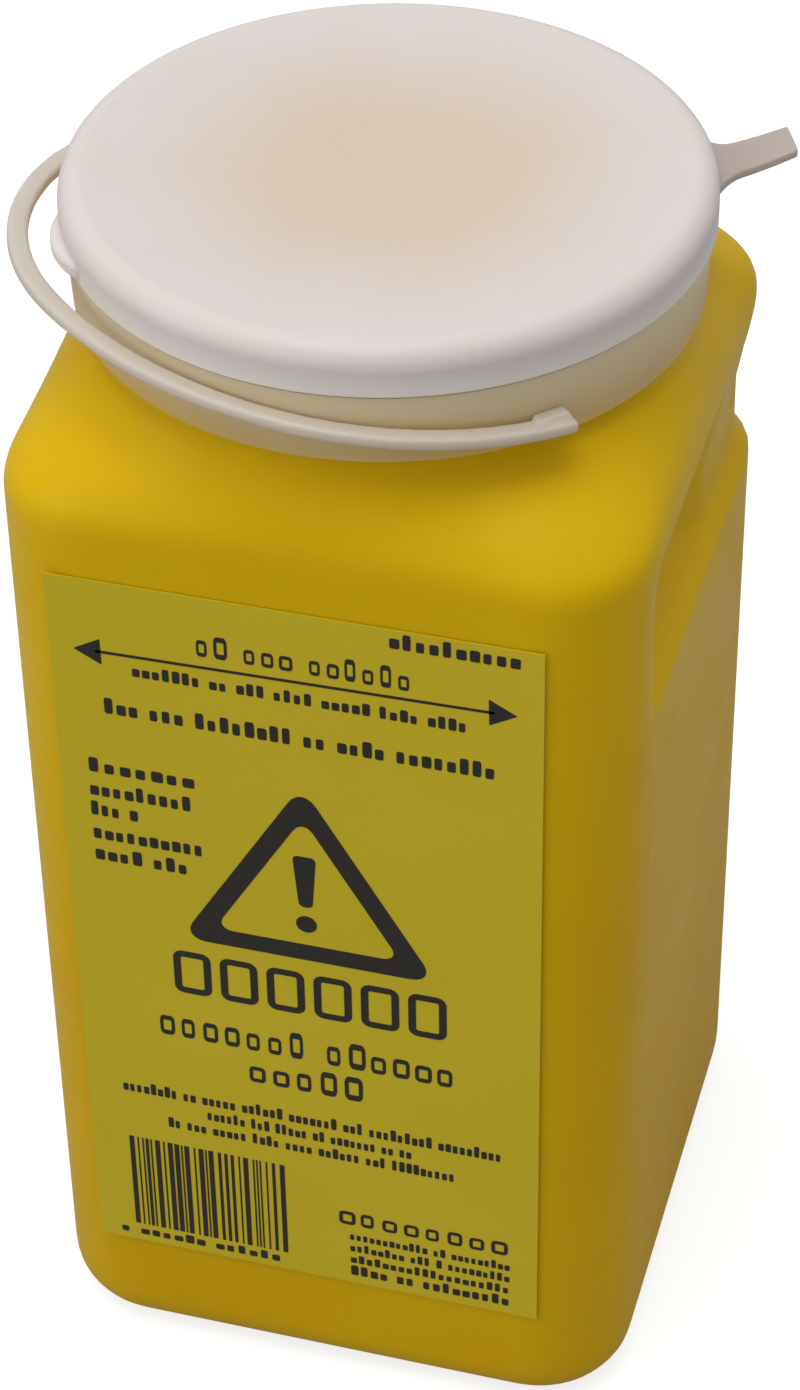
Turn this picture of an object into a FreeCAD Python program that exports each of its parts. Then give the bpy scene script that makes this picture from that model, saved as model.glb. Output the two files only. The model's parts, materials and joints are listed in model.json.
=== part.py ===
import FreeCAD, Part
import math
import os

# A small snap-top sharps container: a square bottle with a round neck, a collar round the neck,
# and a round lid that stays on the collar by a flexible strap.
# Millimetres. +Z is up, the label faces -Y, and the origin is the middle of the base.

os.makedirs("parts", exist_ok=True)

# Container body
body_width = 100.0            # along X
body_depth = 102.0            # along Y
corner_radius = 16.5          # upright corners
base_edge_radius = 9.0
straight_height = 173.9       # top of the straight walls, where the shoulder starts
shoulder_rise = 17.5
shoulder_fullness = 1.15      # above 1 keeps the lower part of the shoulder fuller
shoulder_steps = 10
body_wall = 1.5
neck_radius = 46.2
neck_wall = 2.0
neck_height = 18.7            # from the top of the shoulder to the lip
neck_bead_reach = 0.8         # how far the snap bead stands out from the neck
neck_bead_rise = 2.4
neck_bead_drop = 2.0          # from the lip down to the top of the bead
lip_chamfer = 0.7

# Grip groove in each side wall, from the front corner round to the rear, drawn from inset 0
groove_depth = 2.6
groove_drop = 30.2            # from the shoulder's start down to the outer edge of the groove's ledge
groove_ledge_rise = 2.4       # up the ledge to the groove's inner wall
groove_wall_height = 12.3
groove_lip_height = 14.0      # up the sloping underside of the shoulder
groove_front_inset = 17.0     # from the front face to the groove's closed end
ledge_wall_shift = 0.44       # how far, per millimetre of wall, the ledge moves down inside
lip_wall_shift = 0.1          # and the upper slope moves up

# Finger pocket, the deeper front part of the groove
pocket_depth = 6.0
pocket_length = 38.5
pocket_ramp_length = 7.5      # from the pocket's full depth out to the groove's
pocket_wall_height = 14.7

# Label
label_left_gap = 10.7         # from the body's left side to the label, seen from the front
label_right_gap = 12.9
label_top_gap = 7.5           # from the label's upper edge to the shoulder's start
label_base_gap = 23.4         # from the base to the label's lower edge
label_thickness = 0.2

# Collar
collar_wall = 1.5             # at its lower edge
collar_flare = 0.6            # how much wider it is at its upper edge
collar_height = 11.3
collar_fit = 0.1              # radial gap between the neck and the collar
collar_lid_gap = 0.4          # from the collar's top to the underside of the lid's rim

# Lid
lid_bead_clearance = 0.6      # radial gap between the neck's bead and the lid
lid_wall = 1.5
lid_rim_height = 8.0
lid_roll_radius = 3.5         # rounding of the lid's upper edge
lid_dish_depth = 2.4
lid_lip_clearance = 0.8       # from the neck's lip to the inside of the lid
rim_chamfer = 0.4
seal_wall = 1.5
seal_depth = 9.0              # how far the seal reaches into the neck
seal_clearance = 0.65         # radial gap between the seal and the neck's bore
seal_chamfer = 0.5

# Strap, lying in a plane that falls towards the front right
strap_width = 3.2             # radial
strap_thickness = 2.0         # upright
strap_edge_radius = 0.6
strap_collar_gap = 0.8
strap_rise = 4.4              # from the collar's lower edge to the strap's middle on the neck's axis
strap_tilt = 6.0              # degrees
strap_fall_heading = 31.0     # degrees from +X
strap_start = -43.0           # degrees from +X, the blunt end beside the collar
strap_leave = -92.0           # where the strap leaves the collar's circle
strap_points = ((-142.0, 3.9), (-176.0, 4.8), (168.0, 2.0))   # degrees, reach beyond the strap's circle
anchor_length = 5.0
anchor_inset = 0.5            # degrees back from the strap's blunt end
anchor_height = 2.8
knuckle_length = 3.5
knuckle_top_gap = 1.0         # below the underside of the lid's rim
knuckle_strap_gap = 0.4

# Pull tab, thumb lug and hinge ear on the lid's rim
tab_heading = 25.0
tab_width = 9.4
tab_tip_width = 6.8
tab_length = 12.4
tab_thickness = 1.6
tab_rise = 2.8                # how far the tip stands above the root
tab_bow = 0.2                 # share of the rise by which the middle hangs below a straight line
tab_rim_gap = 0.3
tab_base_gap = 0.9            # from the underside of the rim to the tab's root
lug_heading = -150.0
lug_span = 19.0               # degrees round the rim
lug_reach = 1.8
lug_height = 2.8
lug_base_gap = 0.3
ear_length = 8.0
ear_height = 2.5
ear_reach = 1.2

# Worked out from the sizes above
half_width = body_width / 2
half_depth = body_depth / 2
shoulder_top = straight_height + shoulder_rise
lip_level = shoulder_top + neck_height
neck_bore_radius = neck_radius - neck_wall
lid_roof_level = lip_level + lid_lip_clearance
lid_top_level = lid_roof_level + lid_wall
rim_level = lid_top_level - lid_rim_height
lid_inner_radius = neck_radius + neck_bead_reach + lid_bead_clearance
lid_radius = lid_inner_radius + lid_wall
collar_inner_radius = neck_radius + collar_fit
collar_radius = collar_inner_radius + collar_wall
collar_top = rim_level - collar_lid_gap
collar_level = collar_top - collar_height
strap_level = collar_level + strap_rise
strap_ring_radius = collar_radius + strap_collar_gap + strap_width / 2
groove_front = groove_front_inset - half_depth
groove_level = straight_height - groove_drop
label_width = body_width - label_left_gap - label_right_gap
label_height = straight_height - label_top_gap - label_base_gap
overcut = 10.0                # how far a cutting solid runs past what it cuts
up = FreeCAD.Vector(0, 0, 1)


def polar(radius, heading, z=0.0):
    angle = math.radians(heading)
    return FreeCAD.Vector(radius * math.cos(angle), radius * math.sin(angle), z)


def save(shape, name):
    solids = shape.Solids
    shape = solids[0] if len(solids) == 1 else Part.makeCompound(solids)
    print(name, "solids", len(solids), "valid", shape.isValid(), "volume", round(shape.Volume, 1))
    shape.exportStep("parts/" + name + ".step")


def revolved(edges):
    """Turn a closed outline in the XZ plane round the Z axis."""
    face = Part.Face(Part.Wire(Part.__sortEdges__(edges)))
    return face.revolve(FreeCAD.Vector(0, 0, 0), up, 360)


def line(start, end):
    return Part.LineSegment(FreeCAD.Vector(*start), FreeCAD.Vector(*end)).toShape()


def outline(points):
    """Straight edges through (radius, height) points, closed."""
    corners = [(radius, 0, height) for radius, height in points]
    return [line(corners[i - 1], corners[i]) for i in range(len(corners))]


def ring(inner, outer, low, high):
    return revolved(outline([(inner, low), (outer, low), (outer, high), (inner, high)]))


def square_to_round(half_x, half_y, corner, radius, roundness, z):
    """Section between a rounded rectangle (roundness 0) and a circle (roundness 1)."""
    inset = corner * (1 - math.sqrt(0.5))
    quarter = [(half_x, 0), (half_x, half_y - corner), (half_x - inset, half_y - inset),
               (half_x - corner, half_y), (0, half_y)]
    loop = list(quarter)
    loop += [(-x, y) for x, y in reversed(quarter[:-1])]
    loop += [(-x, -y) for x, y in quarter[1:]]
    loop += [(x, -y) for x, y in reversed(quarter[1:-1])]
    points = []
    for x, y in loop:
        reach = math.hypot(x, y)
        scale = 1 + roundness * (radius / reach - 1)
        points.append(FreeCAD.Vector(x * scale, y * scale, z))
    edges = []
    for i in range(1, len(points), 2):
        start, middle, end = points[i], points[(i + 1) % len(points)], points[(i + 2) % len(points)]
        if (middle - start).cross(end - middle).Length < 1e-6:
            edges.append(Part.LineSegment(start, end).toShape())
        else:
            edges.append(Part.Arc(start, middle, end).toShape())
    return Part.Wire(edges)


def bottle(wall, radius, drop):
    """Solid bottle, shrunk by wall on every side; drop lowers the shoulder."""
    half_x = half_width - wall
    half_y = half_depth - wall
    corner = corner_radius - wall
    lower = Part.Face(square_to_round(half_x, half_y, corner, radius, 0, wall))
    trunk_top = straight_height - base_edge_radius
    trunk = lower.extrude(up * (trunk_top - wall))
    floor_edges = [e for e in trunk.Edges if e.BoundBox.ZMax < wall + 1e-3]
    trunk = trunk.makeFillet(base_edge_radius - wall, floor_edges)
    sections = [square_to_round(half_x, half_y, corner, radius, 0, trunk_top)]
    for i in range(shoulder_steps + 1):
        rise = i / shoulder_steps
        ease = rise ** shoulder_fullness
        roundness = ease * ease * (3 - 2 * ease)
        level = straight_height - drop + rise * shoulder_rise
        sections.append(square_to_round(half_x, half_y, corner, radius, roundness, level))
    shoulder = Part.makeLoft(sections, True, True)
    return trunk.fuse(shoulder)


def groove_core(wall):
    """What stays inside the groove: the bottle's square section, drawn in by the groove's depth."""
    ledge_shift = wall * ledge_wall_shift
    lip_shift = wall * lip_wall_shift
    ledge_top = groove_level + groove_ledge_rise
    wall_top = ledge_top + groove_wall_height
    levels = ((wall - overcut, groove_level - overcut * groove_ledge_rise / groove_depth - ledge_shift),
              (wall + groove_depth, ledge_top - ledge_shift),
              (wall + groove_depth, wall_top + lip_shift),
              (wall, wall_top + groove_lip_height + lip_shift))
    rings = [square_to_round(half_width - inset, half_depth - inset, corner_radius - inset, 0, 0, z)
             for inset, z in levels]
    return Part.makeLoft(rings, True, True)


def groove_cutter(wall):
    """Solid that cuts the right-hand groove; wall grows it for the inside of the bottle."""
    low = groove_level - wall
    high = groove_level + groove_ledge_rise + groove_wall_height + groove_lip_height
    high += wall * lip_wall_shift
    inner = half_width - corner_radius - wall
    corner = FreeCAD.Vector(inner, groove_front - wall, low)
    slab = Part.makeBox(corner_radius + wall + overcut, 2 * half_depth, high - low, corner)
    return slab.cut(groove_core(wall))


def grown(face, wall):
    return face.makeOffset2D(wall, 2) if wall else face


def pocket_cutter(wall):
    """Solid that cuts the right-hand finger pocket; wall grows it for the inside of the bottle."""
    outside = half_width + overcut
    bottom = half_width - pocket_depth
    slope = groove_ledge_rise / groove_depth
    floor = groove_level + slope * pocket_depth
    roof = floor + pocket_wall_height
    profile = [(outside, groove_level - slope * overcut), (bottom, floor), (bottom, roof),
               (outside, roof + outside - bottom)]
    side = Part.Face(Part.makePolygon([FreeCAD.Vector(x, 0, z) for x, z in profile + profile[:1]]))
    side = grown(side, wall)
    side.translate(FreeCAD.Vector(0, -half_depth - overcut, 0))
    side = side.extrude(FreeCAD.Vector(0, 2 * (half_depth + overcut), 0))
    rear = groove_front + pocket_length
    ramp = pocket_ramp_length / (pocket_depth - groove_depth)
    plan = [(outside, groove_front), (bottom, groove_front), (bottom, rear),
            (outside, rear + ramp * (outside - bottom))]
    top = Part.Face(Part.makePolygon([FreeCAD.Vector(x, y, 0) for x, y in plan + plan[:1]]))
    return grown(top, wall).extrude(up * (lip_level + overcut)).common(side)


def both_sides(shape):
    return shape.fuse(shape.mirror(FreeCAD.Vector(0, 0, 0), FreeCAD.Vector(1, 0, 0)))


def container_body():
    overlap = 2.0
    neck = Part.makeCylinder(neck_radius, neck_height + overlap, up * (shoulder_top - overlap))
    lip = [e for e in neck.Edges if e.Closed and e.BoundBox.ZMin > lip_level - 0.1]
    neck = neck.makeChamfer(lip_chamfer, lip)
    bead_top = lip_level - neck_bead_drop
    bead = revolved(outline([(neck_radius - neck_wall / 2, bead_top - neck_bead_rise),
                             (neck_radius, bead_top - neck_bead_rise),
                             (neck_radius + neck_bead_reach, bead_top - neck_bead_rise / 2),
                             (neck_radius, bead_top),
                             (neck_radius - neck_wall / 2, bead_top)]))
    outer = bottle(0.0, neck_radius, 0.0).fuse([neck, bead])
    outer = outer.cut(both_sides(groove_cutter(0.0).fuse(pocket_cutter(0.0))))
    slope_drop = (math.sqrt(2) - 1) * body_wall
    inner = bottle(body_wall, neck_bore_radius, slope_drop)
    inner = inner.cut(both_sides(groove_cutter(body_wall).fuse(pocket_cutter(body_wall))))
    bore = Part.makeCylinder(neck_bore_radius, neck_height + overcut, up * (shoulder_top - overlap))
    return outer.cut(inner.fuse(bore))


def front_label():
    corner = FreeCAD.Vector(label_left_gap - half_width, -half_depth - label_thickness, label_base_gap)
    return Part.makeBox(label_width, label_thickness, label_height, corner)


def collar_ring():
    return revolved(outline([(collar_inner_radius, collar_level), (collar_radius, collar_level),
                             (collar_radius + collar_flare, collar_top), (collar_inner_radius, collar_top)]))


def lid_shell(drop):
    """Outline of the lid's skin; drop moves from its outer to its inner surface."""
    roll = lid_roll_radius - drop
    roll_middle = lid_radius - lid_roll_radius
    top = lid_top_level - drop
    roll_level = lid_top_level - lid_roll_radius
    sunk = top - lid_dish_depth
    half_dish = FreeCAD.Vector(roll_middle / 2, 0, sunk + lid_dish_depth / 4)
    centre = FreeCAD.Vector(0, 0, sunk)
    crest = FreeCAD.Vector(roll_middle, 0, top)
    reach = roll * math.sqrt(0.5)
    shoulder = FreeCAD.Vector(roll_middle + reach, 0, roll_level + reach)
    side = FreeCAD.Vector(roll_middle + roll, 0, roll_level)
    edges = [Part.Arc(centre, half_dish, crest).toShape(), Part.Arc(crest, shoulder, side).toShape()]
    return edges, centre, side


def lid_cap():
    outer_edges, outer_centre, outer_side = lid_shell(0.0)
    inner_edges, inner_centre, inner_side = lid_shell(lid_wall)
    edges = outer_edges + inner_edges
    edges.append(line(outer_centre, inner_centre))
    edges.append(line(outer_side, (lid_radius, 0, rim_level + rim_chamfer)))
    edges.append(line((lid_radius, 0, rim_level + rim_chamfer), (lid_radius - rim_chamfer, 0, rim_level)))
    edges.append(line((lid_radius - rim_chamfer, 0, rim_level), (lid_inner_radius, 0, rim_level)))
    edges.append(line((lid_inner_radius, 0, rim_level), inner_side))
    return revolved(edges)


def lid_seal():
    """Ring under the lid that fits inside the neck."""
    outer = neck_bore_radius - seal_clearance
    inner = outer - seal_wall
    low = lip_level - seal_depth
    blank = revolved(outline([(inner, low), (outer - seal_chamfer, low), (outer, low + seal_chamfer),
                              (outer, lid_top_level), (inner, lid_top_level)]))
    edges, centre, side = lid_shell(lid_wall)
    roof = (0, 0, low - overcut)
    below = edges + [line(side, (side.x, 0, roof[2])), line((side.x, 0, roof[2]), roof), line(roof, centre)]
    return blank.common(revolved(below))


def strap_placement():
    fall = math.radians(strap_fall_heading)
    hinge = FreeCAD.Vector(-math.sin(fall), math.cos(fall), 0)
    return FreeCAD.Placement(up * strap_level, FreeCAD.Rotation(hinge, strap_tilt))


def tangent_arc(start, direction, end):
    """Arc from start along direction to end, and its direction at the end."""
    chord = end - start
    sideways = up.cross(direction)
    turn = math.atan2(chord.dot(sideways), chord.dot(direction))
    radius = chord.Length / (2 * math.sin(turn))
    centre = start + sideways * radius
    half = FreeCAD.Rotation(up, math.degrees(turn))
    middle = centre + half.multVec(start - centre)
    return Part.Arc(start, middle, end).toShape(), half.multVec(half.multVec(direction))


def strap_route():
    """The strap's centre line in its own plane, with its end point and direction."""
    start = polar(strap_ring_radius, strap_start)
    middle = polar(strap_ring_radius, (strap_start + strap_leave) / 2)
    here = polar(strap_ring_radius, strap_leave)
    edges = [Part.Arc(start, middle, here).toShape()]
    direction = polar(1, strap_leave - 90)
    for heading, reach in strap_points:
        target = polar(strap_ring_radius + reach, heading)
        edge, direction = tangent_arc(here, direction, target)
        edges.append(edge)
        here = target
    return edges, here, direction


def tether_strap():
    edges = strap_route()[0]
    start = polar(strap_ring_radius, strap_start)
    outward = polar(1, strap_start)
    section = [start + outward * (side * strap_width / 2) + up * (level * strap_thickness / 2)
               for side, level in ((-1, -1), (1, -1), (1, 1), (-1, 1), (-1, -1))]
    sweep = Part.BRepOffsetAPI.MakePipeShell(Part.Wire(edges))
    sweep.setBiNormalMode(up)
    sweep.add(Part.makePolygon(section))
    sweep.build()
    sweep.makeSolid()
    strap = Part.Solid(sweep.shape())
    strap = strap.makeFillet(strap_edge_radius, [e for e in strap.Edges if e.Length > strap_thickness * 2])
    strap.Placement = strap_placement()
    return strap


def strap_anchor():
    """Web between the collar and the blunt end of the strap, at the strap's own height."""
    span = math.degrees(anchor_length / collar_radius)
    heading = strap_start - span - anchor_inset
    low = strap_placement().multVec(polar(strap_ring_radius, heading)).z - anchor_height / 2
    block = ring(collar_radius, strap_ring_radius, low, low + anchor_height)
    wedge = Part.makeCylinder(strap_ring_radius + overcut, anchor_height, up * low, up, span)
    wedge.rotate(FreeCAD.Vector(0, 0, 0), up, heading)
    return block.common(wedge).cut([tether_strap(), collar_ring()])


def knuckle_frame():
    """Place of the strap's lid end: its point, direction along the strap and sideways."""
    edges, end, direction = strap_route()
    place = strap_placement()
    point = place.multVec(end)
    heading = FreeCAD.Vector(direction.x, direction.y, 0).normalize()
    return point, heading


def strap_knuckle():
    point, heading = knuckle_frame()
    top = rim_level - knuckle_top_gap
    low = point.z - strap_thickness / 2
    block = Part.makeBox(knuckle_length, strap_width, top - low,
                         FreeCAD.Vector(knuckle_strap_gap, -strap_width / 2, 0))
    upright = [e for e in block.Edges if e.BoundBox.ZLength > strap_thickness]
    block = block.makeFillet(strap_edge_radius, upright)
    turn = math.degrees(math.atan2(heading.y, heading.x))
    block.Placement = FreeCAD.Placement(FreeCAD.Vector(point.x, point.y, low), FreeCAD.Rotation(up, turn))
    return block


def pull_tab():
    """Tab with a round root, about which it bends."""
    half = tab_thickness / 2
    axis = lid_radius + tab_rim_gap + half
    level = rim_level + tab_base_gap + half
    tip = axis - half + tab_length
    middle = (axis + tip) / 2
    sag = tab_rise * tab_bow

    def surface(side):
        start = FreeCAD.Vector(axis, 0, level + side)
        bend = FreeCAD.Vector(middle, 0, level + side + tab_rise / 2 - sag)
        return Part.Arc(start, bend, FreeCAD.Vector(tip, 0, level + side + tab_rise)).toShape()

    root = Part.Arc(FreeCAD.Vector(axis, 0, level + half), FreeCAD.Vector(axis - half, 0, level),
                    FreeCAD.Vector(axis, 0, level - half)).toShape()
    end = line((tip, 0, level + tab_rise - half), (tip, 0, level + tab_rise + half))
    side = Part.Face(Part.Wire(Part.__sortEdges__([surface(-half), surface(half), root, end])))
    side.translate(FreeCAD.Vector(0, -tab_width / 2, 0))
    blank = side.extrude(FreeCAD.Vector(0, tab_width, 0))
    corners = ((axis - half, -tab_width / 2), (tip, -tab_tip_width / 2), (tip, tab_tip_width / 2),
               (axis - half, tab_width / 2))
    plan = [FreeCAD.Vector(x, y, level - overcut) for x, y in corners + corners[:1]]
    tab = blank.common(Part.Face(Part.makePolygon(plan)).extrude(up * 2 * overcut))
    tab.rotate(FreeCAD.Vector(0, 0, 0), up, tab_heading)
    return tab


def thumb_lug():
    low = rim_level + lug_base_gap
    middle = polar(lid_radius, lug_heading, low)
    half_chord = lid_radius * math.sin(math.radians(lug_span / 2))
    sagitta = lid_radius - lid_radius * math.cos(math.radians(lug_span / 2))
    bulge = lug_reach + sagitta
    radius = (half_chord ** 2 + bulge ** 2) / (2 * bulge)
    centre = polar(lid_radius + lug_reach - radius, lug_heading, low)
    disc = Part.makeCylinder(radius, lug_height, centre)
    disc = disc.makeFillet(lug_height / 3, [e for e in disc.Edges if e.Closed])
    return disc.cut(Part.makeCylinder(lid_radius, 2 * overcut, FreeCAD.Vector(0, 0, low - overcut)))


def hinge_ear():
    heading = strap_points[-1][0]
    block = Part.makeBox(ear_reach + lid_wall, ear_length, ear_height,
                         FreeCAD.Vector(lid_radius - lid_wall, -ear_length / 2, rim_level))
    block.rotate(FreeCAD.Vector(0, 0, 0), up, heading)
    return block.cut(Part.makeCylinder(lid_radius, 2 * overcut, FreeCAD.Vector(0, 0, rim_level - overcut)))


save(container_body(), "container_body")
save(front_label(), "front_label")
save(collar_ring(), "collar_ring")
save(strap_anchor(), "strap_anchor")
save(tether_strap(), "tether_strap")
save(strap_knuckle(), "strap_knuckle")
save(lid_cap(), "lid_cap")
save(lid_seal(), "lid_seal")
save(hinge_ear(), "hinge_ear")
save(thumb_lug(), "thumb_lug")
save(pull_tab(), "pull_tab")
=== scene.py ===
import json
import math
import random
import bpy
from mathutils import Matrix, Vector

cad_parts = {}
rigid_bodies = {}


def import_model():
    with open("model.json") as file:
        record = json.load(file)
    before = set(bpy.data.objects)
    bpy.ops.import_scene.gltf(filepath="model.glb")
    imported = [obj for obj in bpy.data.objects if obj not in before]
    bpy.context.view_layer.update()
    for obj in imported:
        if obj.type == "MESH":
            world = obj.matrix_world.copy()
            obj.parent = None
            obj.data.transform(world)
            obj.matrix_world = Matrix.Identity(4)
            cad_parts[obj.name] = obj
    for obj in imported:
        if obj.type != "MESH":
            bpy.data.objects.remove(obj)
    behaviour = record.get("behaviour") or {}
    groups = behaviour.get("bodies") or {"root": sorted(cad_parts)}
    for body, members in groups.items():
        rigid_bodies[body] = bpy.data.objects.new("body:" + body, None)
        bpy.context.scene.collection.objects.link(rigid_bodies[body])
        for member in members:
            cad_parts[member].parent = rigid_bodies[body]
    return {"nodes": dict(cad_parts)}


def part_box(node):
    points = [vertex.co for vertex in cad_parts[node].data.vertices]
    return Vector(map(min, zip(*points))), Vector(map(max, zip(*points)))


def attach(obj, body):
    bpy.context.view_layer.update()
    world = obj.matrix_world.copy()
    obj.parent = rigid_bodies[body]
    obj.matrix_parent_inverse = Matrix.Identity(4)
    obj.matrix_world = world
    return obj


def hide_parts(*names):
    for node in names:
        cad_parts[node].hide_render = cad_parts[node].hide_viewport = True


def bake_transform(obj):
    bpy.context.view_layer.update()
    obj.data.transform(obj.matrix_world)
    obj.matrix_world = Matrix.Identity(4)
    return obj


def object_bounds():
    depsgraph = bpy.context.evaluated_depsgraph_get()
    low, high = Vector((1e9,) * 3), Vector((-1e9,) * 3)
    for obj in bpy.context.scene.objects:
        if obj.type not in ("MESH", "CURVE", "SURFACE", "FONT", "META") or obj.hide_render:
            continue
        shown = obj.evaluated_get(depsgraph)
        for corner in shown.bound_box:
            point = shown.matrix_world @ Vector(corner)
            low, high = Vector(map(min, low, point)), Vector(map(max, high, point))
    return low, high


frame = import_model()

# Sharps container: CAD nodes with moulded-plastic finishes, a printed label, and soft details
# in place of sharp ones.
# Metres, +Z up, label towards -Y, origin in the middle of the base.

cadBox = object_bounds()
nodes = frame["nodes"]
random.seed(7)
scene = bpy.context.scene
mm = 0.001


class Wire:  # a node socket that takes part in sums
    def __init__(self, tree, socket):
        self.tree = tree
        self.socket = socket

    def maths(self, operation, *values):
        node = self.tree.nodes.new("ShaderNodeMath")
        node.operation = operation
        for place, value in zip(node.inputs, values):
            plug(self.tree, place, value)
        return Wire(self.tree, node.outputs[0])

    def __add__(self, other): return self.maths("ADD", self, other)
    def __radd__(self, other): return self.maths("ADD", other, self)
    def __mul__(self, other): return self.maths("MULTIPLY", self, other)
    def __rmul__(self, other): return self.maths("MULTIPLY", other, self)
    def __pow__(self, other): return self.maths("POWER", self, other)


def plug(tree, place, value):
    if isinstance(value, Wire):
        tree.links.new(value.socket, place)
    elif isinstance(value, (tuple, list)) and len(value) == 3 and place.type == "RGBA":
        place.default_value = (*value, 1.0)
    else:
        place.default_value = value


class Finish:  # one material under construction
    def __init__(self, name):
        self.material = bpy.data.materials.new(name)
        self.material.use_nodes = True
        self.tree = self.material.node_tree
        self.tree.nodes.clear()
        self.out = self.tree.nodes.new("ShaderNodeOutputMaterial")

    def node(self, kind, settings=None, sockets=None, take=0):
        node = self.tree.nodes.new("ShaderNode" + kind)
        for key, value in (settings or {}).items():
            setattr(node, key, value)
        for key, value in (sockets or {}).items():
            plug(self.tree, node.inputs[key], value)
        return Wire(self.tree, node.outputs[take])

    def place(self):
        return self.node("TexCoord", take="Object")

    def parts(self, vector):
        split = self.node("SeparateXYZ", None, {0: vector}).socket.node
        return [Wire(self.tree, socket) for socket in split.outputs]

    def noise(self, scale, detail):
        return self.node("TexNoise", None,
                         {"Vector": self.place(), "Scale": scale, "Detail": detail})

    def between(self, value, low, high):
        return self.node("MapRange", {"clamp": True},
                         {"Value": value, "From Min": low, "From Max": high})

    def mix(self, factor, first, second):
        node = self.tree.nodes.new("ShaderNodeMix")
        node.data_type = "RGBA"
        for index, value in ((0, factor), (6, first), (7, second)):  # the sockets of a colour mix
            plug(self.tree, node.inputs[index], value)
        return Wire(self.tree, node.outputs[2])

    def bump(self, height, strength, distance, under=None):
        sockets = {"Height": height, "Strength": strength, "Distance": distance}
        if under:
            sockets["Normal"] = under
        return self.node("Bump", None, sockets)

    def close(self, **sockets):
        named = {key.replace("_", " "): value for key, value in sockets.items()}
        shader = self.node("BsdfPrincipled", None, named)
        self.tree.links.new(shader.socket, self.out.inputs["Surface"])
        return self.material


# pale and deep yellow: random cloud mixes them, and a painted light gradient makes the top paler
# and the base deeper
yellowBottle = {"paleAndLit": (0.77, 0.51, 0.004), "deepAndShaded": (0.67, 0.395, 0.001),
                "speck": (0.55, 0.33, 0.004), "grain": 900.0, "waves": 45.0,
                "roughLow": 0.30, "roughHigh": 0.42}


def yellowPlastic():
    f = Finish("yellowPlastic")
    tones = yellowBottle
    z = f.parts(f.place())[2]
    cloud = f.between(f.noise(14.0, 3.0), 0.35, 0.65)
    # painted light: the body is painted paler towards the top and deeper towards the base
    paintedTopLight = f.between(z, 0.02, 0.19)
    colour = f.mix(cloud * 0.35 + paintedTopLight * 0.45, tones["deepAndShaded"], tones["paleAndLit"])
    speck = f.between(f.noise(420.0, 2.0), 0.62, 0.75)
    colour = f.mix(speck * 0.12, colour, tones["speck"])
    rough = f.between(f.noise(60.0, 4.0), 0.3, 0.7) * (tones["roughHigh"] - tones["roughLow"])
    waves = f.bump(f.noise(tones["waves"], 2.0), 0.12, 0.004)
    grain = f.bump(f.noise(tones["grain"], 3.0), 0.10, 0.0003, waves)
    return f.close(Base_Color=colour, Roughness=rough + tones["roughLow"], Normal=grain,
                   Subsurface_Weight=0.12, Subsurface_Radius=(0.004, 0.002, 0.0004),
                   Subsurface_Scale=1.0, Specular_IOR_Level=0.07)


def labelFilm():
    f = Finish("labelFilm")
    cloud = f.between(f.noise(25.0, 3.0), 0.3, 0.7)
    colour = f.mix(cloud, (0.60, 0.475, 0.018), (0.64, 0.50, 0.024))
    fibre = f.noise(1500.0, 2.0)
    colour = f.mix(f.between(fibre, 0.55, 0.8) * 0.10, colour, (0.42, 0.33, 0.01))
    rough = f.between(f.noise(90.0, 3.0), 0.3, 0.7) * 0.10 + 0.30
    ripple = f.bump(f.noise(35.0, 1.0), 0.10, 0.002)
    grain = f.bump(fibre, 0.06, 0.0002, ripple)
    return f.close(Base_Color=colour, Roughness=rough, Normal=grain, Specular_IOR_Level=0.12)


def printInk():
    f = Finish("printInk")
    wear = f.between(f.noise(700.0, 3.0), 0.6, 0.8)
    colour = f.mix(wear * 0.5, (0.014, 0.011, 0.006), (0.06, 0.045, 0.008))
    rough = f.between(f.noise(120.0, 2.0), 0.3, 0.7) * 0.12 + 0.34
    grain = f.bump(f.noise(1500.0, 2.0), 0.06, 0.0002)
    return f.close(Base_Color=colour, Roughness=rough, Normal=grain, Specular_IOR_Level=0.4)


# low tones: on the lid painted light, paler on the rim's lower edge; on the collar and strap
# painted shade, darker and warmer towards the foot
naturalParts = {
    "lid": {"middle": (0.72, 0.575, 0.45), "edge": (0.77, 0.685, 0.65), "low": (0.96, 0.88, 0.80)},
    "collar": {"middle": (0.84, 0.69, 0.46), "edge": (0.84, 0.69, 0.46), "low": (0.62, 0.43, 0.14)},
    "strap": {"middle": (0.60, 0.54, 0.48), "edge": (0.60, 0.54, 0.48), "low": (0.58, 0.51, 0.42)},
    "tab": {"middle": (0.46, 0.40, 0.365), "edge": (0.46, 0.40, 0.365), "low": (0.46, 0.40, 0.365)},
}


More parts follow.
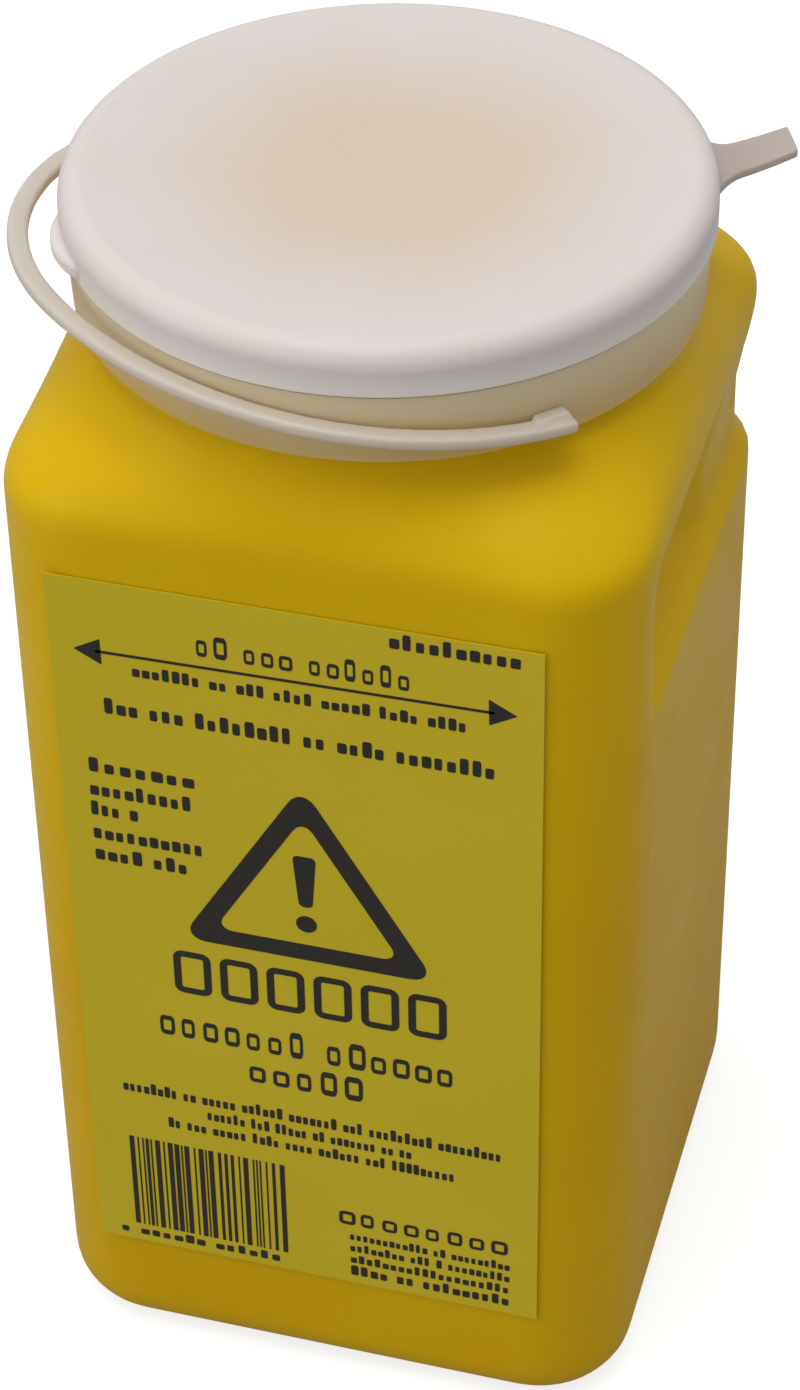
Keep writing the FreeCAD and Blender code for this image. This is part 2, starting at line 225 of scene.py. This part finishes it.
def naturalPlastic(part, low, high):
    # milky polyethylene: a painted warm glow where the bottle shines through, paler towards the rim
    f = Finish("naturalPlastic" + part.capitalize())
    tones = naturalParts[part]
    x, y, z = f.parts(f.place())
    reach = (x * x + y * y) ** 0.5
    wobble = f.between(f.noise(30.0, 3.0), 0.3, 0.7) * 0.006
    # painted light: the warm middle tone stands for the bottle's light showing through
    radial = f.node("MapRange", {"clamp": True, "interpolation_type": "SMOOTHSTEP"},
                    {"Value": reach + wobble, "From Min": 0.016, "From Max": 0.046})
    colour = f.mix(radial, tones["middle"], tones["edge"])
    # painted light and shade by height: the low tone paints the lid's rim edge paler and the foot
    # of the collar and strap darker
    colour = f.mix(f.between(z, high, low), colour, tones["low"])
    cloud = f.between(f.noise(70.0, 4.0), 0.35, 0.7)
    colour = f.mix(cloud * 0.10, colour, tones["middle"])
    rough = f.between(f.noise(80.0, 3.0), 0.3, 0.7) * 0.10 + 0.36
    waves = f.bump(f.noise(60.0, 2.0), 0.08, 0.003)
    grain = f.bump(f.noise(1100.0, 3.0), 0.08, 0.0002, waves)
    return f.close(Base_Color=colour, Roughness=rough, Normal=grain, Subsurface_Weight=0.35,
                   Subsurface_Radius=(0.006, 0.005, 0.0035), Subsurface_Scale=1.0,
                   Specular_IOR_Level=0.4)


def clothe(piece, material):
    piece.data.materials.clear()
    piece.data.materials.append(material)


yellow = yellowPlastic()
film = labelFilm()
ink = printInk()
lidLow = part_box("lid_cap")[0][2]
collarLow, collarHigh = (corner[2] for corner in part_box("collar_ring"))
# the lid's painted paler rim band fades out over its lowest 4 mm
milkLid = naturalPlastic("lid", lidLow, lidLow + 4 * mm)  # the low tone fades out up the rim
milkCollar = naturalPlastic("collar", collarLow, collarHigh)
milkStrap = naturalPlastic("strap", collarLow, collarHigh)
milkTab = naturalPlastic("tab", collarLow, collarHigh)
for material, names in ((yellow, ("container_body",)), (film, ("front_label",)),
                        (milkCollar, ("collar_ring",)), (milkTab, ("pull_tab",)),
                        (milkStrap, ("strap_anchor", "tether_strap", "strap_knuckle")),
                        (milkLid, ("lid_cap", "lid_seal", "hinge_ear", "thumb_lug"))):
    for name in names:
        clothe(nodes[name], material)
print("finishes on", len(nodes), "CAD nodes")


def startMesh(adder, name, **settings):
    bpy.ops.object.select_all(action="DESELECT")
    adder(**settings)
    piece = bpy.context.object
    piece.name = name
    piece.data.name = name
    return piece


def takeUp(piece):
    # makes the piece the only one selected, and the active one
    bpy.ops.object.select_all(action="DESELECT")
    piece.select_set(True)
    bpy.context.view_layer.objects.active = piece


def settle(piece):
    takeUp(piece)
    bpy.ops.object.transform_apply(location=True, rotation=True, scale=True)


def applyAll(piece):
    takeUp(piece)
    for modifier in list(piece.modifiers):
        bpy.ops.object.modifier_apply(modifier=modifier.name)


def pick(piece, kind, test):
    # selects the vertices, edges or faces that pass the test, ready for an edit-mode operator
    takeUp(piece)
    bpy.ops.object.mode_set(mode="EDIT")
    bpy.ops.mesh.select_mode(type={"vertices": "VERT", "edges": "EDGE", "polygons": "FACE"}[kind])
    bpy.ops.mesh.select_all(action="DESELECT")
    bpy.ops.object.mode_set(mode="OBJECT")
    for item in getattr(piece.data, kind):
        item.select = test(item)
    bpy.ops.object.mode_set(mode="EDIT")


def leaveEdit():
    bpy.ops.object.mode_set(mode="OBJECT")


def joined(pieces, name):
    bpy.ops.object.select_all(action="DESELECT")
    for piece in pieces:
        piece.select_set(True)
    bpy.context.view_layer.objects.active = pieces[0]
    bpy.ops.object.join()
    whole = bpy.context.object
    whole.name = name
    whole.data.name = name
    return whole


def roundOff(piece):
    smooth = piece.modifiers.new("smooth", "SUBSURF")
    smooth.levels = 1
    smooth.render_levels = 1
    applyAll(piece)
    for polygon in piece.data.polygons:
        polygon.use_smooth = True


labelLow = Vector(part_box("front_label")[0])
printing = {
    "proud": 0.06 * mm, "sunk": 0.06 * mm, "stampCorner": 0.18, "barCorner": 0.02,
    "hollowOver": 4.0, "hollowCorner": 0.28, "hollowStroke": 0.23,
    "wordGap": 0.7, "letterTall": (0.62, 0.62, 0.70, 0.95), "letterWide": (0.60, 0.68, 0.76),
    # left, right, baseline, letter height, letters in each word, all in millimetres on the label
    "rows": (
        (-16.0, 17.8, 155.4, 4.4, (2, 3, 6)),
        (13.8, 34.0, 163.0, 3.0, (10,)),
        (-26.4, 25.8, 149.3, 2.4, (7, 2, 3, 4, 5, 4, 4)),
        (-31.3, 30.2, 141.1, 3.2, (3, 3, 8, 2, 4, 8)),
        (-34.6, -17.0, 128.8, 3.0, (7,)),
        (-34.7, -17.9, 124.0, 3.0, (9,)),
        (-34.8, -26.8, 119.9, 3.0, (3, 1)),
        (-34.7, -16.4, 115.0, 3.0, (10,)),
        (-34.7, -19.0, 110.6, 3.0, (4, 3)),
        (-26.0, 24.0, 74.5, 6.0, (7, 6)),
        (-11.2, 8.9, 67.3, 5.6, (5,)),
        (-33.3, 31.2, 59.6, 2.6, (8, 2, 5, 6, 7, 3, 9, 9)),
        (-18.9, 16.1, 56.2, 2.4, (6, 3, 5, 2, 7, 2, 2)),
        (-25.8, 23.4, 52.8, 2.4, (2, 3, 5, 4, 4, 6, 3, 9)),
        (-35.6, -6.9, 25.0, 2.0, (1, 6, 6)),
        (3.2, 33.0, 37.6, 4.4, (8,)),
        (5.0, 32.7, 34.0, 2.0, (12, 2, 9)),
        (5.0, 32.7, 31.2, 2.0, (8, 3, 1, 9)),
        (5.0, 32.7, 28.4, 2.0, (20,)),
        (5.0, 32.8, 25.4, 2.4, (4, 2, 9)),
    ),
}
barcode = {"left": -33.0, "right": -5.8, "low": 27.6, "high": 48.8, "margin": 0.6,
           "bars": (0.28, 0.28, 0.55, 0.85), "gaps": (0.3, 0.3, 0.55, 0.8)}
triangle = {"centre": (-0.5 * mm, 109.0 * mm), "reach": 24.2 * mm, "corner": 4.4 * mm,
            "stroke": 3.3 * mm, "barTop": 9.7 * mm, "barFoot": 0.8 * mm, "topHalf": 1.9 * mm,
            "footHalf": 1.1 * mm, "barCorner": 0.9 * mm, "dot": 1.7 * mm, "dotDown": 4.4 * mm}
fillLine = {"level": 153.5 * mm, "left": -35.5 * mm, "right": 33.1 * mm, "thick": 0.5 * mm,
            "tilt": math.radians(0.9), "headLong": 4.3 * mm, "headTall": 4.9 * mm,
            "headCorner": 0.12 * mm, "headOverlap": 0.8}
heading = {"left": -23.0, "right": 22.0, "low": 84.7, "tall": 9.2, "letters": 6, "gap": 1.5,
           "stroke": 1.25, "corner": 1.6}
inkFront = labelLow.y - printing["proud"]
inkBack = labelLow.y + printing["sunk"]
inkMiddle = (inkFront + inkBack) / 2
inkDeep = inkBack - inkFront


def roundedStamp(name, rounding):
    # one upright block, a unit wide and tall, with rounded corners, facing the front
    stamp = startMesh(bpy.ops.mesh.primitive_cube_add, name, size=1.0, location=(0, 0, 0))

    def alongDepth(edge):
        a, b = (stamp.data.vertices[i].co for i in edge.vertices)
        return abs(a.y - b.y) > 0.5

    pick(stamp, "edges", alongDepth)
    bpy.ops.mesh.bevel(offset=rounding, segments=2, affect="EDGES")
    leaveEdit()
    return stamp


def stampAt(stamp, left, right, low, high):
    copy = bpy.data.objects.new("stamp", stamp.data.copy())
    scene.collection.objects.link(copy)
    size = Matrix.Diagonal((right - left, inkDeep, high - low, 1.0))
    middle = Matrix.Translation(((left + right) / 2, inkMiddle, (low + high) / 2))
    copy.data.transform(middle @ size)
    return copy


def letterRows(stamp, hollow):
    # blank placeholder blocks where lines of print would be; large rows get hollow ones
    made = []
    for left, right, base, tall, words in printing["rows"]:
        cells = sum(words) + printing["wordGap"] * (len(words) - 1)
        cell = (right - left) / cells
        master = hollow if tall > printing["hollowOver"] else stamp
        at = left
        for letters in words:
            for i in range(letters):
                height = tall * random.choice(printing["letterTall"])
                wide = cell * random.choice(printing["letterWide"])
                made.append(stampAt(master, at * mm, (at + wide) * mm,
                                    base * mm, (base + height) * mm))
                at += cell
            at += printing["wordGap"] * cell
    return made


def barcodeBars(stamp):
    made = []
    at = barcode["left"]
    while at < barcode["right"] - barcode["margin"]:
        wide = random.choice(barcode["bars"])
        made.append(stampAt(stamp, at * mm, (at + wide) * mm,
                            barcode["low"] * mm, barcode["high"] * mm))
        at += wide + random.choice(barcode["gaps"])
    return made


def plateOutline(name, corners, rounding):
    # flat plate facing the front, given its corners, with each corner rounded
    plate = startMesh(bpy.ops.mesh.primitive_circle_add, name, vertices=len(corners), radius=1.0,
                      fill_type="NGON", location=(0, 0, 0), rotation=(math.pi / 2, 0, 0))
    settle(plate)
    order = sorted(plate.data.vertices, key=lambda v: math.atan2(v.co.z, v.co.x))
    midX = sum(x for x, z in corners) / len(corners)
    midZ = sum(z for x, z in corners) / len(corners)
    corners = sorted(corners, key=lambda c: math.atan2(c[1] - midZ, c[0] - midX))
    for vertex, (x, z) in zip(order, corners):
        vertex.co = (x, inkMiddle, z)
    if rounding:
        pick(plate, "vertices", lambda v: True)
        bpy.ops.mesh.bevel(offset=rounding, segments=6, affect="VERTICES")
        leaveEdit()
    return plate


def frameOf(plate, stroke):
    # leaves a border as wide as the stroke
    pick(plate, "polygons", lambda p: True)
    bpy.ops.mesh.inset(thickness=stroke, depth=0)
    bpy.ops.mesh.delete(type="FACE")
    leaveEdit()
    return plate


def thicken(plate, depth=inkDeep):
    solid = plate.modifiers.new("thick", "SOLIDIFY")
    solid.thickness = depth
    solid.offset = 0
    applyAll(plate)
    return plate


def hollowMaster():
    # a rounded empty frame, a unit wide, tall and deep
    square = [(-0.5, -0.5), (0.5, -0.5), (0.5, 0.5), (-0.5, 0.5)]
    plate = frameOf(plateOutline("hollowMaster", square, printing["hollowCorner"]),
                    printing["hollowStroke"])
    plate.data.transform(Matrix.Translation((0, -inkMiddle, 0)))
    return thicken(plate, 1.0)


def warningTriangle():
    # a plain triangle border with an upright stroke over a dot
    t = triangle
    cx, cz = t["centre"]
    corners = [(cx + t["reach"] * math.cos(a), cz + t["reach"] * math.sin(a))
               for a in (math.pi / 2, math.pi * 7 / 6, math.pi * 11 / 6)]
    border = plateOutline("border", corners, t["corner"])
    inner = 1 - t["stroke"] / (t["reach"] / 2)
    pick(border, "polygons", lambda p: True)
    bpy.ops.mesh.extrude_region()
    leaveEdit()
    for vertex in border.data.vertices:
        if vertex.select:
            vertex.co.x = cx + (vertex.co.x - cx) * inner
            vertex.co.z = cz + (vertex.co.z - cz) * inner
    pick(border, "polygons", lambda p: len(p.vertices) > 4)  # the two plates, leaving the border
    bpy.ops.mesh.delete(type="FACE")
    leaveEdit()
    thicken(border)
    bar = [(cx - t["topHalf"], cz + t["barTop"]), (cx + t["topHalf"], cz + t["barTop"]),
           (cx + t["footHalf"], cz - t["barFoot"]), (cx - t["footHalf"], cz - t["barFoot"])]
    stroke = thicken(plateOutline("stroke", bar, t["barCorner"]))
    dot = startMesh(bpy.ops.mesh.primitive_cylinder_add, "dot", vertices=32, radius=t["dot"],
                    depth=inkDeep, location=(cx, inkMiddle, cz - t["dotDown"]),
                    rotation=(math.pi / 2, 0, 0))
    settle(dot)
    return joined([border, stroke, dot], "print_warning_triangle")


def fillArrow():
    # the fill line, with a head at each end
    f = fillLine
    level, half, tall = f["level"], f["thick"] / 2, f["headTall"] / 2
    start = f["left"] + f["headLong"] * f["headOverlap"]
    stop = f["right"] - f["headLong"] * f["headOverlap"]
    bar = [(start, level - half), (stop, level - half), (stop, level + half), (start, level + half)]
    pieces = [thicken(plateOutline("line", bar, 0))]
    for tip, way in ((f["left"], 1), (f["right"], -1)):
        back = tip + way * f["headLong"]
        head = [(tip, level), (back, level + tall), (back, level - tall)]
        pieces.append(thicken(plateOutline("head", head, f["headCorner"])))
    arrow = joined(pieces, "print_fill_arrow")
    up = Matrix.Translation((0, 0, level))
    arrow.data.transform(up @ Matrix.Rotation(-f["tilt"], 4, "Y") @ up.inverted())
    return arrow


def headingFrames():
    # the big word is a row of empty frames
    word = heading
    cell = (word["right"] - word["left"] + word["gap"]) / word["letters"]
    low, high = word["low"] * mm, (word["low"] + word["tall"]) * mm
    frames = []
    for i in range(word["letters"]):
        left = (word["left"] + i * cell) * mm
        right = left + (cell - word["gap"]) * mm
        plate = plateOutline("frame", [(left, low), (right, low), (right, high), (left, high)],
                             word["corner"] * mm)
        frames.append(thicken(frameOf(plate, word["stroke"] * mm)))
    return joined(frames, "print_heading_frames")


stamp = roundedStamp("stampMaster", printing["stampCorner"])
barStamp = roundedStamp("barMaster", printing["barCorner"])
hollowStamp = hollowMaster()
printPieces = [joined(letterRows(stamp, hollowStamp), "print_text_blocks"),
               joined(barcodeBars(barStamp), "print_bar_code_blank"),
               warningTriangle(), fillArrow(), headingFrames()]
for spare in (stamp, barStamp, hollowStamp):
    bpy.data.objects.remove(spare)
for piece in printPieces:
    clothe(piece, ink)
    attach(piece, "container")
print("label print:", len(printPieces), "pieces")


# the share of faces to keep is set for the bottle only, whose fine grid has more than it needs
mouldedBottle = {"voxel": 1.25 * mm, "softenSteps": 5, "soften": 0.5, "keep": 0.75}
weldGap = 0.005 * mm


def softened(name, nodeNames, extras, settings):
    # copies of CAD nodes in one skin, with their crisp creases eased as moulded plastic has them
    copies = list(extras)
    for nodeName in nodeNames:
        copy = bpy.data.objects.new(nodeName + "Copy", nodes[nodeName].data.copy())
        scene.collection.objects.link(copy)
        copies.append(copy)
    piece = joined(copies, name)
    pick(piece, "vertices", lambda v: True)
    bpy.ops.mesh.remove_doubles(threshold=weldGap)
    leaveEdit()
    grid = piece.modifiers.new("grid", "REMESH")
    grid.mode = "VOXEL"
    grid.voxel_size = settings["voxel"]
    grid.use_smooth_shade = True
    ease = piece.modifiers.new("ease", "SMOOTH")
    ease.factor = settings["soften"]
    ease.iterations = settings["softenSteps"]
    if "keep" in settings:
        thin = piece.modifiers.new("thin", "DECIMATE")
        thin.ratio = settings["keep"]
    applyAll(piece)
    return piece


body = softened("container_body_moulded", ["container_body"], [], mouldedBottle)
clothe(body, yellow)
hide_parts("container_body")
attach(body, "container")
print("moulded body:", len(body.data.polygons), "faces")


def roundTheRim(radius, heading, level):
    angle = math.radians(heading)
    return (radius * math.cos(angle), radius * math.sin(angle), level)


strapEndHeading = 168.0  # degrees from +X, where the strap meets the lid
mouldedStrap = {"voxel": 0.38 * mm, "softenSteps": 2, "soften": 0.4, "endRadius": 52.1 * mm,
                "bridge": (2.6 * mm, 2.4 * mm, 1.7 * mm), "bridgeRise": 1.0 * mm}
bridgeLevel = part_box("strap_knuckle")[0][2] + mouldedStrap["bridgeRise"]
bridge = startMesh(bpy.ops.mesh.primitive_cube_add, "bridge", size=1.0,
                   location=roundTheRim(mouldedStrap["endRadius"], strapEndHeading, bridgeLevel),
                   rotation=(0, 0, math.radians(strapEndHeading)))
bridge.scale = mouldedStrap["bridge"]
settle(bridge)
strap = softened("tether_strap_moulded", ["tether_strap", "strap_anchor", "strap_knuckle"],
                 [bridge], mouldedStrap)
clothe(strap, milkStrap)
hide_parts("tether_strap", "strap_anchor", "strap_knuckle")
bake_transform(strap)
print("moulded strap:", len(strap.data.polygons), "faces")


# thin web that hinges the lid on the strap
webShape = {"inner": 49.3 * mm, "outer": 50.9 * mm, "wide": 3.4 * mm, "overlap": 0.5 * mm,
            "steps": 6, "waist": 0.35, "foldRadius": 50.1 * mm, "foldInset": 0.4 * mm}


def hingeWeb():
    w = webShape
    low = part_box("strap_knuckle")[1][2] - w["overlap"]
    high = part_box("hinge_ear")[0][2] + w["overlap"]
    web = startMesh(bpy.ops.mesh.primitive_cube_add, "hinge_web", size=1.0,
                    location=((w["inner"] + w["outer"]) / 2, 0, (low + high) / 2))
    web.scale = (w["outer"] - w["inner"], w["wide"], high - low)
    settle(web)

    def upright(edge):
        a, b = (web.data.vertices[i].co for i in edge.vertices)
        return abs(a.z - b.z) > (high - low) / 2

    pick(web, "edges", upright)
    bpy.ops.mesh.subdivide(number_cuts=w["steps"])
    leaveEdit()
    for vertex in web.data.vertices:  # waisted in the middle, where it bends
        vertex.co.y *= 1 - w["waist"] * math.sin(math.pi * (vertex.co.z - low) / (high - low))
    roundOff(web)
    web.data.transform(Matrix.Rotation(math.radians(strapEndHeading), 4, "Z"))
    return web, low, high


web, webLow, webHigh = hingeWeb()
clothe(web, milkStrap)
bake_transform(web)
print("hinge web")


tabShape = {"heading": 25.0, "root": 48.75 * mm, "bend": 50.3 * mm, "tip": 61.6 * mm,
            "flare": 15.0 * mm, "flareShare": 0.35, "flareCurve": 2.2, "narrow": 8.6 * mm,
            "tipWide": 6.9 * mm, "thick": 1.6 * mm, "level": 206.1 * mm, "rise": 2.8 * mm,
            "riseCurve": 1.35, "edge": 0.45 * mm, "steps": 12, "fold": (49.4 * mm, 51.6 * mm)}


def pullTab():
    s = tabShape
    long = s["tip"] - s["root"]
    tab = startMesh(bpy.ops.mesh.primitive_cube_add, "pull_tab_moulded", size=1.0,
                    location=((s["root"] + s["tip"]) / 2, 0, s["level"]))
    tab.scale = (long, 1.0, s["thick"])
    settle(tab)

    def lengthwise(edge):
        a, b = (tab.data.vertices[i].co for i in edge.vertices)
        return abs(a.x - b.x) > long / 2

    pick(tab, "edges", lengthwise)
    bpy.ops.mesh.subdivide(number_cuts=s["steps"])
    leaveEdit()
    for vertex in tab.data.vertices:
        along = (vertex.co.x - s["root"]) / long
        side = 1 if vertex.co.y > 0 else -1
        taper = s["narrow"] + (s["tipWide"] - s["narrow"]) * along
        nearRoot = max(0.0, 1 - along / s["flareShare"])
        flare = (s["flare"] - s["narrow"]) * nearRoot ** s["flareCurve"]
        vertex.co.y = side * (taper + flare) / 2
        past = max(0.0, (vertex.co.x - s["bend"]) / (s["tip"] - s["bend"]))
        vertex.co.z += s["rise"] * past ** s["riseCurve"]
    edges = tab.modifiers.new("round", "BEVEL")
    edges.width = s["edge"]
    edges.segments = 3
    edges.limit_method = "ANGLE"
    edges.angle_limit = math.radians(50)
    roundOff(tab)
    tab.data.transform(Matrix.Rotation(math.radians(s["heading"]), 4, "Z"))
    return tab


tab = pullTab()
clothe(tab, milkTab)
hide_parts("pull_tab")
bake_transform(tab)
print("pull tab")


# moulding gate nib on the rim
nibShape = {"heading": 59.0, "radius": 0.9 * mm, "flatten": 0.8, "out": 49.15 * mm,
            "level": 209.6 * mm}


def gateNib():
    n = nibShape
    nib = startMesh(bpy.ops.mesh.primitive_uv_sphere_add, "gate_nib", segments=24, ring_count=12,
                    radius=n["radius"], location=roundTheRim(n["out"], n["heading"], n["level"]))
    nib.scale = (1.0, 1.0, n["flatten"])
    settle(nib)
    bpy.ops.object.shade_smooth()
    return nib


nib = gateNib()
clothe(nib, milkLid)
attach(nib, "lid")
print("gate nib")


studio = {"floorSize": 6.0, "floorColour": (0.42, 0.42, 0.42), "floorPatch": (0.44, 0.44, 0.44),
          "floorGlow": 0.75, "skyDark": 0.06, "skyBright": 0.66, "skyTowards": (0.05, 0.55, 0.80),
          "skySpread": 0.7, "lampSize": 0.9, "lampsAim": (0, 0, 0.12),
          "lamps": (("top", (-0.1, -0.35, 1.6), 9.0), ("left", (-1.3, -0.9, 0.8), 5.0),
                    ("front", (-0.4, -1.5, 0.6), 2.0))}


def floorPaint():
    # the sweep reads white to the camera without lighting the object from below
    f = Finish("studioFloor")
    cloud = f.between(f.noise(3.0, 2.0), 0.3, 0.7)
    colour = f.mix(cloud, studio["floorColour"], studio["floorPatch"])
    seen = f.node("LightPath", take="Is Camera Ray")
    glow = f.mix(seen, (0.0, 0.0, 0.0), (1.0, 1.0, 1.0))
    return f.close(Base_Color=colour, Roughness=0.9, Emission_Color=glow,
                   Emission_Strength=studio["floorGlow"])


floor = startMesh(bpy.ops.mesh.primitive_plane_add, "floor", size=studio["floorSize"],
                  location=(0, 0, cadBox[0][2]))
clothe(floor, floorPaint())

world = bpy.data.worlds.new("studioSky")
scene.world = world
world.use_nodes = True
sky = world.node_tree.nodes  # bright above and behind, dim on the side the camera looks from
towards = sky.new("ShaderNodeVectorMath")
towards.operation = "DOT_PRODUCT"
towards.inputs[1].default_value = studio["skyTowards"]
ramp = sky.new("ShaderNodeMapRange")
for socket, value in (("From Min", -studio["skySpread"]), ("From Max", studio["skySpread"]),
                      ("To Min", studio["skyDark"]), ("To Max", studio["skyBright"])):
    ramp.inputs[socket].default_value = value
wires = world.node_tree.links
wires.new(sky.new("ShaderNodeTexCoord").outputs["Generated"], towards.inputs[0])
wires.new(towards.outputs["Value"], ramp.inputs["Value"])
seen = sky.new("ShaderNodeMix")  # plain white behind the object, whichever way it is looked at
seen.inputs[3].default_value = 1.0
wires.new(sky.new("ShaderNodeLightPath").outputs["Is Camera Ray"], seen.inputs[0])
wires.new(ramp.outputs[0], seen.inputs[2])
wires.new(seen.outputs[0], sky["Background"].inputs["Strength"])
sky["Background"].inputs["Color"].default_value = (1.0, 1.0, 1.0, 1.0)

for name, at, power in studio["lamps"]:
    lamp = bpy.data.lights.new(name, "AREA")
    lamp.size = studio["lampSize"]
    lamp.energy = power
    holder = bpy.data.objects.new(name, lamp)
    scene.collection.objects.link(holder)
    holder.location = at
    aim = Vector(studio["lampsAim"]) - Vector(at)
    holder.rotation_euler = aim.to_track_quat("-Z", "Y").to_euler()

view = {"at": (0.1383, -0.4742, 0.5217), "turn": (50.3945, 0.8512, 15.6600), "lens": 101.29,
        "sensor": 36.0, "near": 0.01, "shift": (0.0059, -0.0107)}
camera = bpy.data.cameras.new("camera")
camera.sensor_width = view["sensor"]
camera.lens = view["lens"]
camera.shift_x, camera.shift_y = view["shift"]
camera.clip_start = view["near"]
holder = bpy.data.objects.new("camera", camera)
scene.collection.objects.link(holder)
holder.location = view["at"]
holder.rotation_euler = [math.radians(angle) for angle in view["turn"]]
scene.camera = holder
scene.view_settings.view_transform = "Standard"
print("studio and camera")
